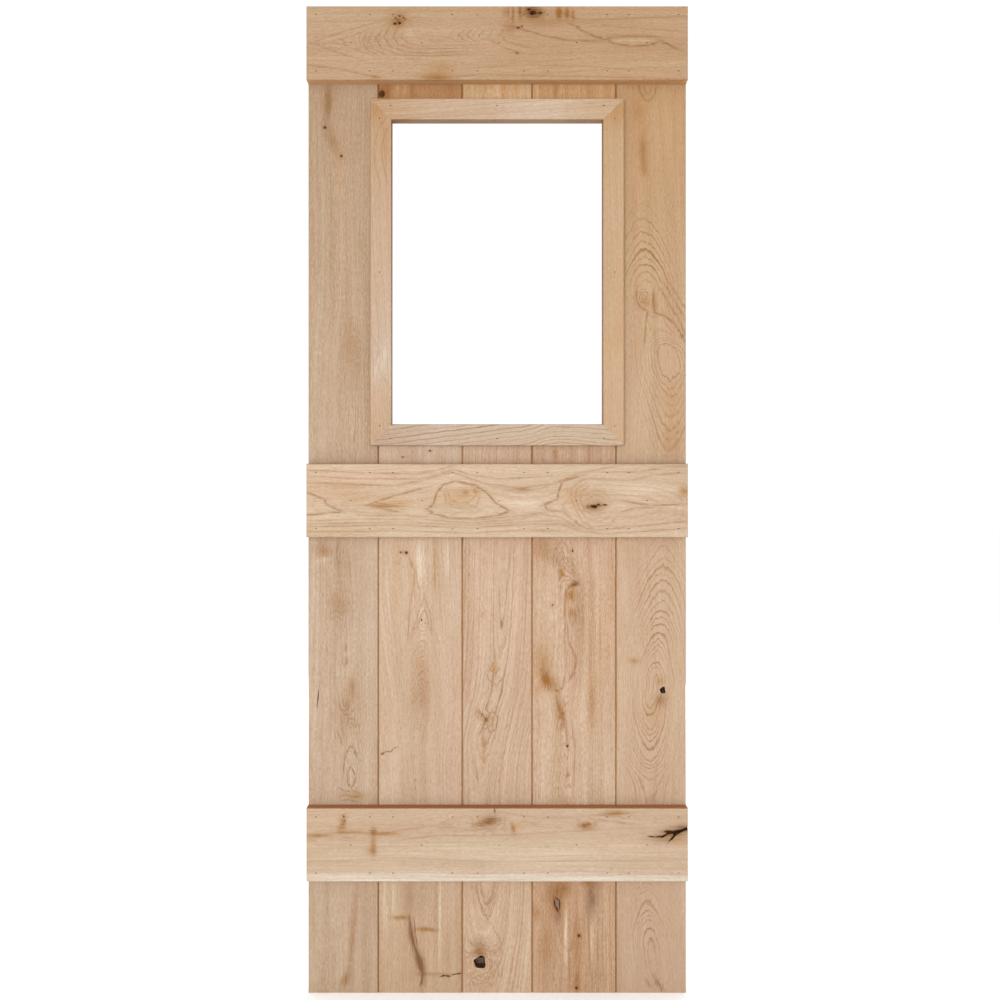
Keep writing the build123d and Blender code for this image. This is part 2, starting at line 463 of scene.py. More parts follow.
def marked(stock, rings, layers, colour):
    """The wood with its stains, ring lines, knots and cracks."""
    tree, oak = stock.tree, stock.oak
    patchy = layers.stripes.plus(*STAIN_STREAKS) * layers.near_face
    for mark in oak.stains:
        colour = tree.tinted(stock.patch(mark).fade() * mark.strength * patchy, colour, mark.colour)
    lines = ring_lines(stock, rings) * layers.clouds.plus(*RING_CLOUDING)
    broken = layers.threads.plus(*LINE_BREAKS) * layers.near_face
    for contour in oak.contours:
        line = stock.chain(contour, True).fade() * contour.strength * broken
        lines = lines.math("MAXIMUM", line)
    curl = stock.noise(CURL, stock.across) if oak.eyes else None
    for eye in oak.eyes:
        lines = lines.math("MAXIMUM", eye_lines(stock, eye, curl) * broken)
    colour = tree.tinted(lines, colour, LINE_TINT)
    for knot in oak.knots:
        if knot.core:
            reach = stock.oval(stock.steady_point, knot)
            colour = tree.tinted((reach * HALO_FADE).fade() * knot.halo * patchy, colour, RUST)
            core = (layers.fibres * CORE_FIBRES + reach).fall(*CORE_RIM)
            colour = tree.mix(core * layers.threads.plus(*CORE_BREAKS), colour, knot.core)
    for crack in oak.cracks:
        depth = stock.chain(crack, False).fade() * layers.threads.plus(*CRACK_BREAKS)
        colour = tree.mix(depth * layers.near_face, colour, crack.colour)
    return colour


def edged(stock, layers, colour):
    """The wood with end grain and joints darker than its faces, painted light on its side faces, and
    painted shade on ledge tops, in window reveals and in hollows.
    """
    tree = stock.tree
    normal = tree.node("ShaderNodeNewGeometry", {}, output="Normal")
    sideways, facing, upward = (part.math("ABSOLUTE") for part in tree.split(normal))
    endways = upward if stock.upright else sideways
    # Painted shade inside hollows: below a hollow's lip, knot holes and the ledge split are painted dark,
    # partly the dark wood of a knot
    for hollow in stock.oak.hollows:
        window = stock.oval(stock.steady_point, hollow)
        hollow_shade = stock.depth.rise(hollow.from_depth, hollow.from_depth + HOLLOW_LIP)
        hollow_shade = hollow_shade * layers.near_face.rise(*HOLLOW_SKIN)
        hollow_shade = hollow_shade * endways.fall(*HOLLOW_END) * layers.threads.plus(*HOLLOW_BREAKS)
        colour = tree.mix(window.fall(*HOLLOW_RIM) * hollow_shade, colour, hollow.colour)
    # Painted light on the side faces
    colour = tree.tinted(facing.fall(*EDGE_LIGHT_TURN), colour, EDGE_LIGHT_TINT)
    # Painted shade on the top of a ledge and on the window reveals
    for ending, (side, tint) in SIDE_SHADE_TINTS.items():
        if stock.node.endswith(ending):
            colour = tree.tinted(tree.dot(normal, side).rise(*SIDE_SHADE_TURN), colour, tint)
    colour = tree.tinted(endways.rise(*END_TURN), colour, END_TINT)
    if stock.upright:
        colour = tree.tinted(sideways.rise(*JOINT_RISE) * sideways.fall(*JOINT_FALL), colour, JOINT_TINT)
    return colour


def oak_material(node, oak):
    stock = Stock(node, oak)
    tree = stock.tree
    across = stock.noise(WANDER, stock.across).plus(WANDER_REACH, stock.across)
    rings = ring_field(stock, across)
    grain = rings.plus(oak.flow, across * (1 - oak.flow))

    bands = stock.noise(BANDS, grain)
    stripes = stock.noise(STRIPES, grain)
    threads = stock.noise(THREADS, grain)
    flecks = stock.noise(FLECKS, across)
    fibres = stock.noise(FIBRES, across)
    pores = stock.noise(PORES, across).rise(*PORE_RISE)
    clouds = stock.noise(CLOUDS, across)
    tone = bands * BANDS.weight + stripes * STRIPES.weight + threads * THREADS.weight
    tone = tone + flecks * FLECKS.weight + fibres * FIBRES.weight + clouds * CLOUDS.weight
    tone = (tone - pores * PORES.weight).plus(oak.grain, TONE_SHIFT)

    base = tree.ramp(stock.along, sorted((stock.way(place), seen(*tint)) for place, tint in oak.tones))
    colour = tree.stepped(stock.noise(TINTS, grain), base, PINK_STEP)
    colour = tree.stepped(tone, colour, TONE_STEP)
    near_face = stock.depth.fall(FACE_SKIN, CORE_SKIN)
    layers = Layers(stripes, threads, fibres, clouds, near_face)
    colour = edged(stock, layers, marked(stock, rings, layers, colour))

    height = fibres * BUMP_FIBRES - pores * BUMP_PORES
    inputs = {"Height": height, "Strength": BUMP_STRENGTH, "Distance": BUMP_HEIGHT * MM}
    bump = tree.node("ShaderNodeBump", inputs)
    roughness = stripes * STRIPE_ROUGHNESS + pores * PORE_ROUGHNESS + OAK_ROUGHNESS
    inputs = {"Base Color": colour, "Roughness": roughness, "Normal": bump}
    inputs["Specular IOR Level"] = OAK_SPECULAR
    return tree.finish(tree.node("ShaderNodeBsdfPrincipled", inputs))


# The figure of each piece. Columns and rows are places in the photograph, and sizes are on the leaf.
# Tones are given at rows of an upright piece, and at columns of a level one.

OAKS = {}

OAKS["left_edge_board"] = Oak(
    along="Z",
    tones=(
        (8, (188, 157, 127)), (200, (190, 160, 131)), (455, (195, 167, 139)), (600, (200, 173, 147)),
        (990, (197, 168, 140)),
    ),
    pith=(
        (345, 8, 34), (345, 150, 22), (343, 265, 8), (352, 400, 10), (344, 560, 14), (347, 640, 10),
        (346, 690, 14), (347, 713, 2), (348, 734, 14), (350, 746, 14), (350, 771, 1), (351, 797, 17),
        (348, 890, 24), (348, 992, 26),
    ),
    ring_width=4.2, flow=0.25, plain_rings=0.1, grain=0.95,
    figures=(
        (342, 265, 24, 150, 0.5), (354, 420, 46, 170, 0.6), (341, 560, 40, 70, 0.4),
        (338, 616, 40, 40, 0.5), (347, 712, 34, 80, 0.5), (350, 771, 34, 100, 0.6),
    ),
    knots=((325, 127.6, 6, 6, DARK, 0.6, 0.8), (341.4, 156, 5, 5, DARK, 0.6, 0.6)),
    stains=(
        (314, 640, 18, 560, CREAM, 0.24), (327.5, 106, 14, 80, BROWN, 0.7, 2),
        (329, 96, 26, 60, ORANGE, 0.4), (333, 142, 22, 60, RUST, 0.5, -22), (350, 347, 44, 112, RUST, 0.38),
        (346, 562, 40, 110, RUST, 0.25, 6), (340, 170, 16, 130, ORANGE, 0.3),
        (325, 551, 34, 26, RUST, 0.5, 30), (324, 560, 34, 12, CREAM, 0.4, -20),
        (343, 606, 50, 80, RUST, 0.2), (338, 602, 36, 30, RUST, 0.3, 40), (352, 688, 16, 50, RUST, 0.68),
        (346, 716, 34, 100, RUST, 0.3), (346, 647, 5, 12, RUST, 0.75), (346, 661, 6, 14, RUST, 0.75),
        (356, 796, 50, 18, ORANGE, 0.6), (353, 932, 14, 190, RUST, 0.45, 4),
        (345, 980, 16, 34, RUST, 0.7, 25),
    ),
    contours=(
        (1.6, 0.7, ((337.5, 544), (336.5, 554), (338, 566))),
        (1.6, 0.6, ((349, 556), (350, 570), (351, 584))),
        (1.6, 0.5, ((352, 592), (353, 606), (352, 624))),
        (1.6, 0.6, ((331, 613), (336, 610), (341, 614), (345, 611))),
        (1.6, 0.5, ((332, 619), (337, 616), (342, 620))),
        (1.6, 0.6, ((343, 655), (342, 662), (345, 667), (348, 662))),
        (1.7, 0.9, ((339, 702), (341, 710), (345, 711), (348, 708), (349, 703))),
        (1.7, 0.8, ((343, 699), (343.5, 706), (346.5, 706), (347, 700))),
        (1.7, 0.8, ((344, 714), (349, 715), (354, 710))),
        (1.7, 0.9, ((347, 724), (349, 718.5), (353.5, 719), (356.5, 724), (355, 729))),
        (1.7, 0.7, ((350, 725), (352, 722), (353, 726), (350, 728))),
        (1.7, 0.8, ((341, 717), (341.5, 726), (344, 733))),
        (1.7, 0.8, ((338, 731), (339.5, 737), (342, 743))),
        (1.8, 1.1, ((343.5, 772), (344, 762), (346, 753), (350, 746), (354, 749), (357, 757))),
        (1.8, 1.1, ((351, 766), (347.5, 773), (347.5, 782), (350.5, 788), (354, 784), (355.5, 776),
            (351, 766))),
        (1.7, 0.8, ((340, 788), (345, 791.5), (352, 790.5), (359, 793))),
        (1.7, 0.8, ((341, 796), (347, 794.5), (352, 797), (360, 796))),
        (1.7, 0.7, ((342, 800.5), (349, 799.5), (357, 802))),
        (2.4, 0.35, ((357, 900), (354, 930), (351, 955), (345, 985))),
    ),
    cracks=((1.1, DARK, ((318.4, 693), (317.4, 705))),),
)

OAKS["left_wide_board"] = Oak(
    along="Z",
    # The tones at rows 60 and 97, by the top ledge, and at row 452, under the window sill, are raised to
    # make up for the shade in those short strips: painted light
    tones=(
        (60, (184, 136, 94)), (97, (188, 140, 96)), (170, (196, 162, 134)), (452, (210, 180, 154)),
        (475, (208, 178, 152)), (600, (207, 177, 149)), (800, (206, 175, 148)), (960, (202, 170, 138)),
    ),
    pith=(
        (424, 8, 40, 90), (424, 450, 40, 90), (424, 545, 26, 76), (425, 605, 12, 62), (423, 640, 10, 40),
        (421, 695, 5, 5), (420, 706, 4, 0), (418, 735, 8, 14), (415, 757, 6, 14), (415, 800, 4, 4),
        (412, 890, 30, 0), (415, 992, 44, 0),
    ),
    ring_width=3.6, flow=0.2, plain_rings=0.1, grain=0.9,
    figures=(
        (424, 620, 54, 100, 0.9), (421, 675, 44, 120, 0.8), (419, 728, 40, 60, 0.6),
        (415, 778, 34, 90, 0.7), (442, 560, 50, 100, 0.4),
    ),
    knots=(
        (382, 94, 13, 16, DARK, 0.9, 1.5), (430, 450.8, 6, 4, DARK, 0.4, 0.5),
        (403, 457, 6, 4, UMBER, 0.4, 0.5), (400.7, 552.4, 6, 5, UMBER, 0.4, 0.6),
        (406.2, 552.7, 7, 6, DARK, 0.5, 0.8), (421.7, 620, 3.5, 4.5, DARK, 0.3, 0.4),
        (382.5, 753.6, 5, 4, DARK, 0.3), (443.5, 975.6, 5, 3.5, BLACK, 0.4), (448, 976.4, 4, 3, BLACK, 0.3),
        (459.5, 973.4, 4, 3, BLACK, 0.3),
    ),
    stains=(
        (388, 88, 12, 40, RUST, 0.4), (397, 90, 8, 50, CREAM, 0.4, 12), (405, 90, 7, 50, CREAM, 0.4, 10),
        (412, 90, 8, 60, BROWN, 0.35), (450, 90, 26, 60, RUST, 0.3), (412, 456, 34, 60, BROWN, 0.2),
        (420, 560, 26, 90, CREAM, 0.6), (447, 558, 10, 90, CREAM, 0.55), (435, 565, 8, 110, ORANGE, 0.5),
        (412, 570, 16, 80, ORANGE, 0.38, -4), (421, 684, 62, 150, RUST, 0.35),
        (419, 700, 36, 50, BROWN, 0.2), (423, 637, 20, 30, CREAM, 0.36), (422, 616, 16, 60, CREAM, 0.35),
        (386, 590, 18, 200, CREAM, 0.3), (396, 580, 15, 160, ORANGE, 0.3), (409, 897, 34, 66, BROWN, 0.3),
        (424, 897, 40, 66, BROWN, 0.15), (385, 905, 7, 110, CREAM, 0.6), (393, 898, 6, 90, CREAM, 0.6),
        (427, 929.5, 44, 9, RUST, 1.0, 4), (401, 917.5, 36, 9, RUST, 0.9), (432, 974, 60, 8, RUST, 0.5),
        (440, 926, 7, 200, CREAM, 0.9), (420, 963, 18, 52, BROWN, 1.1, -16),
        (412, 937, 12, 62, BROWN, 1.05, -10), (423, 982, 10, 24, BROWN, 0.5),
    ),
    contours=(
        (2.0, 0.7, ((408.8, 557.4), (414.7, 571.7), (413.5, 588.4), (410, 605), (407.6, 638.4))),
        (1.8, 0.7, ((416.4, 566), (417, 582), (419.8, 591.5), (419.2, 605))),
        (1.8, 0.7, ((411, 636), (416.4, 620), (424.2, 596), (431, 616), (432, 636))),
        (1.8, 0.7, ((414, 632.5), (425.3, 609), (431, 632.5))),
        (1.6, 0.5, ((427.5, 539), (428, 560), (428.5, 584))),
        (1.6, 0.5, ((434, 541), (434.5, 570), (435, 592))),
        (1.6, 0.4, ((450, 540), (450, 566), (449.5, 590))),
    ),
    cracks=(
        (1.0, UMBER, ((382, 754), (386, 751.5), (391, 751.8), (393.5, 748.5), (397, 747))),
        (1.4, TAWNY, ((409.6, 919), (411, 930), (413.5, 940))),
        (1.0, TAWNY, ((414.5, 922), (415.5, 934), (417, 944))),
        (2.2, TAWNY, ((412, 936), (414.5, 946), (418, 956), (421, 963))),
        (3.2, TAWNY, ((418, 956), (421, 964), (422.5, 972))),
        (2.0, TAWNY, ((422.5, 972), (422, 980), (420, 986))),
        (1.3, DARK, ((441, 976.5), (446, 975.6), (450, 976.2))),
        (1.2, DARK, ((452, 974.6), (456, 974), (460.5, 973.4))),
    ),
)

# The tones at rows 60 and 97, by the top ledge, are raised to make up for the shade in that short strip:
# painted light
CENTRE_TONES = (
    (60, (212, 173, 132)), (97, (214, 175, 133)), (455, (209, 176, 149)), (600, (209, 177, 150)),
    (800, (207, 176, 149)), (900, (212, 181, 152)), (985, (214, 183, 153)),
)
OAKS["centre_board_upper"] = Oak(
    along="Z",
    tones=CENTRE_TONES,
    pith=((497, 5, 60), (497, 60, 52), (499, 110, 40)),
    ring_width=6.0, flow=0.5, plain_rings=0.3, grain=1.0,
    stains=(
        (472, 90, 7, 60, CREAM, 0.4), (503, 92, 8, 40, ORANGE, 0.6), (516, 90, 12, 60, ORANGE, 0.4),
    ),
)
OAKS["centre_board_lower"] = Oak(
    along="Z",
    tones=CENTRE_TONES,
    pith=(
        (507, 430, 2), (504, 545, 3), (502, 628, 10), (497, 686, 17), (489, 720, 17), (482, 800, 30),
        (487, 860, 14), (487, 914, 24), (484, 962, 40), (484, 992, 52),
    ),
    ring_width=7.0, flow=0.8, plain_rings=0.55, grain=0.95,
    figures=(
        (500, 625, 40, 110, 0.4), (490, 700, 70, 140, 0.4), (487, 905, 60, 90, 0.2),
        (487, 965, 90, 70, 0.6),
    ),
    knots=((486, 719.5, 8, 10, UMBER, 0.7, 2.0), (480, 962, 24, 26, None, 0.0, 4.0)),
    eyes=((483, 966, 96, 108, 5, 0.55),),
    stains=(
        (501.7, 625, 7, 16, RUST, 0.9), (482.6, 614.6, 10, 12, ORANGE, 0.52),
        (495, 668, 9, 26, ORANGE, 0.75, 10), (484, 750, 8, 60, ORANGE, 0.75, 4),
        (479, 714, 14, 20, RUST, 0.52, -30), (479, 947, 30, 36, BROWN, 0.6), (480, 953, 26, 12, RUST, 0.7),
        (480, 972, 30, 10, CREAM, 0.5),
    ),
    hollows=((479.7, 962, 32, 34, 0.2, HOLLOW_SHADE_AND_KNOT),),
    contours=(
        (1.9, 0.7, ((499, 590), (500, 615), (502, 628), (505, 610), (508, 575), (511, 545))),
        (1.9, 0.8, ((494, 650), (495, 660), (490, 668), (495, 674), (499, 668))),
        (1.9, 0.8, ((486, 674), (491, 682), (497, 686), (505, 674))),
        (1.9, 1.0, ((487, 719), (492, 711), (498, 717), (496, 729), (491, 732.5), (487, 726))),
        (1.9, 1.0, ((479, 711), (486, 720), (480, 733))),
        (2.0, 0.8, ((475, 760), (478, 784))),
        (1.9, 0.7, ((475, 884), (480, 902), (486.5, 917), (490.5, 902), (494, 884))),
        (1.9, 0.5, ((487.5, 920), (492, 908), (498, 886))),
        (1.9, 0.5, ((481, 884), (484, 896), (487, 904), (489, 890))),
        (1.9, 0.6, ((492, 925), (500, 940), (502, 957), (494, 974), (484, 981))),
        (1.9, 0.5, ((466, 930), (464, 950), (467, 972), (478, 986))),
    ),
)

OAKS["right_wide_board"] = Oak(
    along="Z",
    # The tones at rows 60 and 97, by the top ledge, are raised to make up for the shade in that short
    # strip: painted light
    tones=(
        (60, (202, 156, 110)), (97, (204, 159, 114)), (300, (197, 160, 128)), (470, (205, 170, 140)),
        (600, (207, 173, 143)), (780, (210, 178, 150)), (890, (201, 164, 131)), (985, (201, 164, 130)),
    ),
    pith=(
        (560, 8, 70), (562, 470, 60), (563, 545, 36), (563, 560, 28), (565, 574, 21), (570, 586, 12),
        (570, 602, 4), (571, 625, 6), (573, 642, 4), (574, 664, 3), (570, 690, 9), (562, 715, 6),
        (566, 748, 12), (568, 800, 26), (566, 890, 40), (572, 992, 58),
    ),
    ring_width=3.6, flow=0.25, plain_rings=0.2, grain=1.15,
    figures=(
        (565, 560, 40, 70, 0.7), (571, 605, 30, 90, 0.8), (572, 655, 34, 100, 0.7), (562, 715, 36, 80, 0.8),
        (568, 765, 40, 120, 0.6), (575, 935, 100, 160, 0.3),
    ),
    knots=(
        (572.4, 550.8, 4, 5, DARK, 0.4, 0.5), (552.4, 605, 3.5, 5, DARK, 0.4, 0.5),
        (547, 681, 12, 20, None, 0.0, 3.0), (561, 710, 10, 30, None, 0.0, 2.5),
        (567.5, 746, 5, 5, BLACK, 0.4, 0.6), (557, 905, 14, 29, UMBER, 0.6, 2.5),
        (556.8, 904, 8, 20, SLATE), (591.5, 897, 15, 34, None, 0.0, 2.0), (591, 892, 7, 10, SLATE, 0.4),
        (592.5, 900, 7, 9, SLATE, 0.4), (579, 935.7, 5.5, 6, BLACK, 0.5, 0.8),
        (576.6, 988, 7, 7, DARK, 0.6, 1.0),
    ),
    stains=(
        (537, 90, 9, 60, CREAM, 0.3), (556, 90, 12, 60, BROWN, 0.4), (600, 90, 9, 60, CREAM, 0.25),
        (556, 455, 7, 50, RUST, 0.5), (543, 548, 50, 56, RUST, 0.35, 10),
        (552, 556, 30, 50, BROWN, 0.25, -40), (562, 573, 10, 18, RUST, 0.9),
        (575, 584, 18, 12, BROWN, 0.9, -30), (571, 595, 16, 26, RUST, 0.9), (571, 613, 12, 26, RUST, 0.8),
        (542, 664, 36, 90, RUST, 0.65, -12), (548, 681, 22, 44, RUST, 1.2, -40),
        (540, 688, 30, 24, RUST, 0.4), (561, 711, 18, 56, RUST, 0.8, -8), (592, 704, 20, 120, RUST, 0.45),
        (597, 646, 36, 200, ORANGE, 0.25), (608, 610, 14, 200, ORANGE, 0.2),
        (556, 630, 40, 200, CREAM, 0.14), (583, 612, 5, 120, BROWN, 0.3), (590, 660, 6, 130, RUST, 0.35),
        (597, 620, 4, 170, CREAM, 0.6), (600, 640, 4, 220, BROWN, 0.25), (608, 655, 8, 90, RUST, 0.3),
        (567.5, 775, 7, 16, RUST, 1.05), (557, 893, 60, 44, RUST, 0.42), (563, 889, 32, 34, RUST, 0.6, 40),
        (558, 918, 14, 30, GREY, 0.5), (592, 901, 24, 70, GREY, 0.6, 6), (589, 882, 40, 22, RUST, 0.7),
        (536, 913, 20, 26, RUST, 0.7), (546, 945, 34, 90, RUST, 0.35), (566, 935, 7, 110, CREAM, 0.7),
        (577, 945, 18, 130, RUST, 0.6), (592, 940, 6, 90, CREAM, 0.7), (598, 950, 5, 100, BROWN, 0.4),
        (607, 925, 26, 150, CREAM, 0.3), (577, 980, 12, 40, RUST, 0.7),
    ),
    contours=(
        (2.0, 0.8, ((553, 564), (554, 553), (558, 546), (562, 541.5), (566.5, 545), (569, 556),
            (577, 572))),
        (2.0, 0.8, ((556, 566), (557, 557), (562, 549), (565, 557), (571, 566), (577, 576))),
        (2.0, 0.8, ((558.5, 568), (561.5, 556.5), (564.5, 562), (570, 568.5), (576, 577))),
        (2.0, 0.8, ((559, 572), (562, 564.5), (567, 569.5), (574, 577))),
        (2.0, 0.9, ((559.5, 580), (561, 574.5), (569, 577), (577.5, 583.5))),
        (2.0, 0.8, ((560.5, 592), (561.5, 583), (565.5, 579.5), (572, 581), (578, 584))),
        (2.4, 1.2, ((564.5, 618), (565, 604), (566.5, 590), (571, 585), (578, 584.5))),
        (2.0, 0.7, ((577, 590), (578.3, 604), (579, 618))),
        (2.2, 0.9, ((575, 612), (575.6, 619), (572.5, 624))),
        (2.2, 0.95, ((567, 627), (568.5, 641), (576, 659), (574.5, 670), (569, 680))),
        (2.2, 0.8, ((565.5, 622), (564.5, 638), (566, 656), (566, 679))),
        (2.2, 1.1, ((555, 690), (559, 691.5), (563, 686), (565, 676))),
        (2.2, 0.95, ((556, 695), (560, 712), (566, 727), (567, 745))),
        (2.2, 0.8, ((572, 725), (575, 750), (573, 790))),
        (2.0, 0.5, ((570, 912), (568, 940), (570, 985))),
        (2.0, 0.5, ((588, 918), (589, 950), (592, 985))),
        (2.0, 0.4, ((562, 922), (563, 950), (561, 985))),
        (2.0, 0.4, ((603, 915), (602, 950), (605, 985))),
    ),
    cracks=(
        (1.6, DARK, ((553.8, 899), (554.8, 905), (558.5, 912))),
        (1.2, DARK, ((556, 897.5), (559.5, 901), (559.8, 908))),
    ),
)

OAKS["right_edge_board"] = Oak(
    along="Z",
    tones=(
        (8, (196, 154, 111)), (110, (197, 157, 115)), (250, (201, 166, 129)), (450, (203, 171, 139)),
        (600, (208, 177, 147)), (800, (207, 175, 145)), (985, (204, 171, 143)),
    ),
    pith=(
        (639, 8, 45, 95), (639, 130, 45, 77), (640, 190, 45, 68), (642, 215, 45, 56), (645, 260, 40, 33),
        (646, 285, 30, 26), (647, 300, 26, 32), (655, 318, 32, 33), (664, 340, 36, 14), (669, 362, 38, 2),
        (670, 378, 38, 7), (671, 400, 34, 21), (670, 430, 32, 38), (669, 452, 30, 50), (668, 500, 30, 70),
        (664, 545, 38, 53), (662, 600, 38, 21), (659, 636, 28, 8), (656, 664, 15, 4), (656, 688, 4, 0),
        (650, 702, 9, 2), (650, 722, 20, 3), (650, 760, 30, 15), (650, 800, 32, 37), (648, 842, 32, 37),
        (647, 900, 30, 9), (649, 922, 22, 3), (651, 945, 13, 0), (653, 962, 12, 0), (655, 980, 17, 1),
        (656, 992, 20, 3),
    ),
    ring_width=5.0, flow=0.15, plain_rings=0.1, grain=0.7,
    figures=(
        (653, 255, 120, 190, 1.05), (666, 366, 104, 160, 1.0), (668, 430, 90, 90, 0.8),
        (660, 612, 92, 310, 1.25), (650, 752, 84, 230, 1.2), (647, 925, 76, 150, 1.0),
    ),
    eyes=((644, 297, 28, 40, 3, 0.8),),
    stains=(
        (643, 148, 18, 66, RUST, 0.65), (644, 168, 14, 40, RUST, 0.5), (639, 112, 30, 40, ORANGE, 0.4),
        (645, 303, 22, 26, RUST, 0.35), (655, 304, 14, 30, ORANGE, 0.5), (672, 400, 40, 90, ORANGE, 0.3),
        (672, 440, 50, 60, ORANGE, 0.35), (634, 661, 22, 12, RUST, 0.6), (661, 700, 22, 30, BROWN, 0.7, 15),
        (660, 681, 18, 20, RUST, 0.5), (652, 715, 50, 60, ORANGE, 0.3), (659, 984, 8, 40, BROWN, 0.7, -35),
        (649, 984, 6, 26, BROWN, 0.5, -35),
    ),
    contours=(
        (2.2, 0.7, ((639, 85), (640, 92), (645, 100), (650, 101), (655, 95), (656.5, 86))),
        (2.0, 0.6, ((644, 86), (645.5, 92), (649, 94), (652, 86))),
        (2.4, 1.1, ((653.5, 292), (653, 304), (655, 313), (665, 316), (675, 324), (687, 344))),
        (2.2, 0.9, ((637, 289), (636, 300), (641, 308), (648, 311), (646, 322), (644, 346))),
        (2.2, 0.8, ((659, 286), (668, 302), (679, 320), (689, 342))),
        (2.2, 0.8, ((664, 283), (673, 298), (684, 317), (691, 330))),
        (2.0, 0.7, ((669, 282), (679, 298), (691, 317))),
    ),
    hollows=((662.6, 690, 17, 20, 0.2, HOLLOW_SHADE_AND_KNOT),),
)

OAKS["top_ledge"] = Oak(
    along="X",
    tones=(
        (305, (197, 163, 130)), (420, (196, 162, 128)), (540, (195, 158, 123)), (690, (196, 159, 123)),
    ),
    pith=(
        (304, 41, 46), (340, 41, 43), (356, 40, 36), (386, 39, 8), (410, 38, 3), (436, 37, 30),
        (458, 35, 26), (480, 35, 14), (500, 34, 4), (530, 32, 20), (565, 36, 24), (612, 40, 8),
        (632, 41, 3), (652, 42, 9), (690, 46, 16),
    ),
    ring_width=3.8, flow=0.2, plain_rings=0.12, grain=0.75,
    figures=(
        (330, 42, 110, 44, 0.6), (372, 41, 60, 44, 0.7), (425, 52, 130, 20, 0.6), (480, 36, 90, 34, 0.8),
        (630, 42, 140, 30, 0.4),
    ),
    knots=(
        (399.8, 16, 5, 4, DARK, 0.5), (395, 23.7, 8, 5, DARK, 0.6), (399.5, 23, 7, 6, DARK, 0.6),
        (399.8, 23.4, 4, 4, BLACK), (403.5, 17.5, 4, 3, DARK, 0.5), (395.5, 18, 4, 3, DARK, 0.5),
        (405, 19.5, 3, 3, UMBER, 0.5), (398, 20, 4, 4, UMBER, 0.5), (529, 9.5, 9, 6, DARK, 0.6),
        (533, 12.5, 15, 10, DARK, 0.9, 2.2), (532, 13.5, 8, 6, BLACK, 0.5), (540, 13, 9, 5, DARK, 0.6),
        (534, 16, 10, 4, UMBER, 0.6), (518, 27.7, 7, 4, DARK, 0.5, 0.4), (522, 26.3, 4, 3, DARK, 0.3),
        (517.3, 53, 6, 4, DARK, 0.5, 0.6),
    ),
    eyes=((534, 12, 44, 26, 4, 0.7),),
    stains=(
        (398.5, 20.5, 44, 38, RUST, 0.65), (533, 12, 54, 26, BROWN, 0.65), (513, 14, 7, 34, RUST, 0.9),
        (508.5, 12, 5, 28, RUST, 0.7), (520, 12, 8, 30, RUST, 1.0), (505, 12, 12, 20, RUST, 0.5),
        (541, 22, 90, 26, RUST, 0.35), (559, 13, 14, 24, RUST, 1.3), (567, 13, 10, 24, RUST, 1.1),
        (573, 15, 8, 24, RUST, 0.8), (510, 28, 26, 24, RUST, 0.5), (437, 77, 64, 14, RUST, 0.9),
        (440, 68, 40, 24, ORANGE, 0.5), (375, 77, 16, 10, RUST, 0.6), (409, 34, 34, 18, CREAM, 0.35, 35),
        (484, 35, 40, 22, CREAM, 0.3), (632, 41, 70, 10, CREAM, 0.6), (570, 66, 260, 26, CREAM, 0.2),
    ),
    contours=(
        (2.4, 0.8, ((517, 28), (545, 36), (574, 41), (602, 41), (613, 37), (640, 36), (661, 37))),
        (2.4, 1.0, ((571, 24), (587, 33), (606, 40), (615, 44), (632, 46), (650, 45), (661, 41),
            (678, 49))),
        (2.0, 0.6, ((306, 65), (340, 69), (376, 77))),
        (1.8, 0.6, ((374, 23), (345, 31), (328, 37), (312, 43), (328, 49), (358, 59))),
        (1.8, 0.5, ((366, 30), (350, 37), (330, 42), (350, 47), (372, 56))),
        (1.8, 0.6, ((366, 34), (363, 42), (367, 50), (380, 56))),
        (1.8, 0.6, ((372, 33), (368.5, 41), (373, 49), (388, 56))),
        (1.8, 0.7, ((381, 31), (376, 39), (382, 48), (400, 55), (430, 56), (462, 54))),
        (1.8, 0.7, ((389, 28), (384, 37), (391, 47), (406, 52), (430, 53), (466, 51))),
        (1.8, 0.6, ((397, 29), (393, 37), (399, 45), (415, 49), (470, 48))),
        (1.8, 0.5, ((404, 31), (401, 37), (408, 43), (424, 46), (480, 45))),
        (1.8, 0.6, ((492, 30), (489, 38), (500, 46), (517, 52))),
        (1.8, 0.5, ((504, 28), (500, 35), (508, 42), (530, 48))),
        (2.0, 0.5, ((560, 12), (574, 18), (590, 20), (690, 16))),
        (2.0, 0.5, ((455, 77), (480, 74), (560, 76), (690, 79))),
        (1.8, 0.4, ((470, 68), (520, 65), (580, 66), (640, 70))),
        (1.8, 0.4, ((600, 26), (640, 28), (690, 32))),
    ),
)

